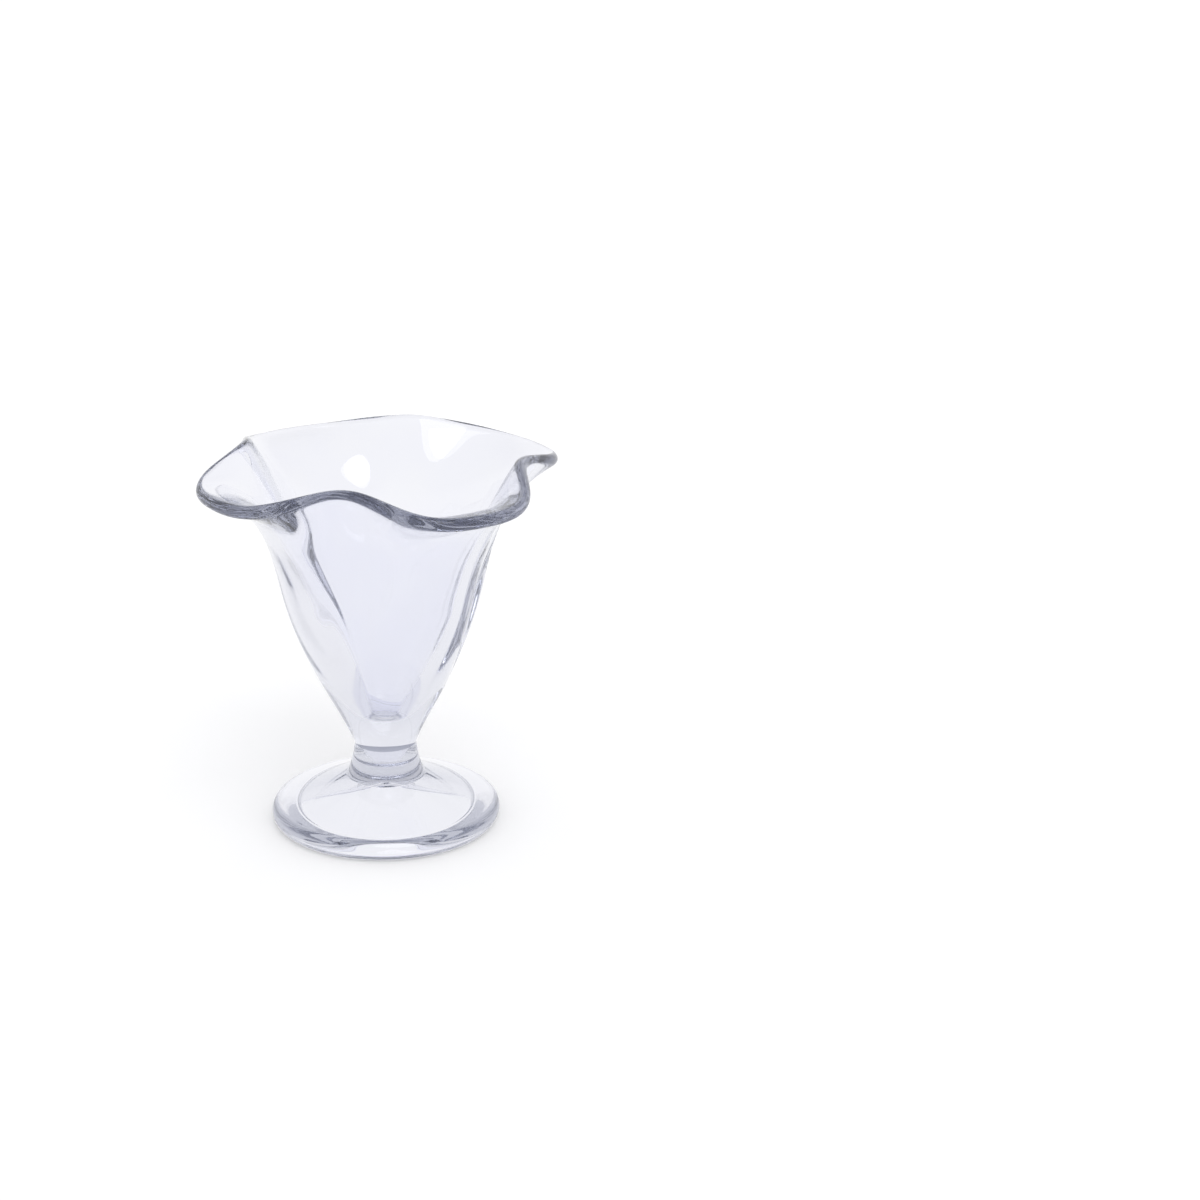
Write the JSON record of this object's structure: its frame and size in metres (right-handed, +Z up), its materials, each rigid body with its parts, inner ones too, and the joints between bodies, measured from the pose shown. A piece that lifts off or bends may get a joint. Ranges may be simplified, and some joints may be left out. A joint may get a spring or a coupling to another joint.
{
  "type": "footed ice cream bowl",
  "caption": "Clear glass ice cream bowl: a tulip cup with flared petals and pinched crests, on a short waisted stem and a round domed foot.",
  "frame": {"origin": "centre of the ring that the foot stands on, at table level", "axes": "+Z up along the bowl's axis; a petal of the rim points along each of +X, -X, +Y and -Y"},
  "size_m": [0.1128, 0.1128, 0.117],
  "materials": {
    "glass": "clear gloss"
  },
  "bodies": {
    "root": {"foot": "glass", "stem": "glass", "bowl": "glass"}
  },
  "joints": []
}
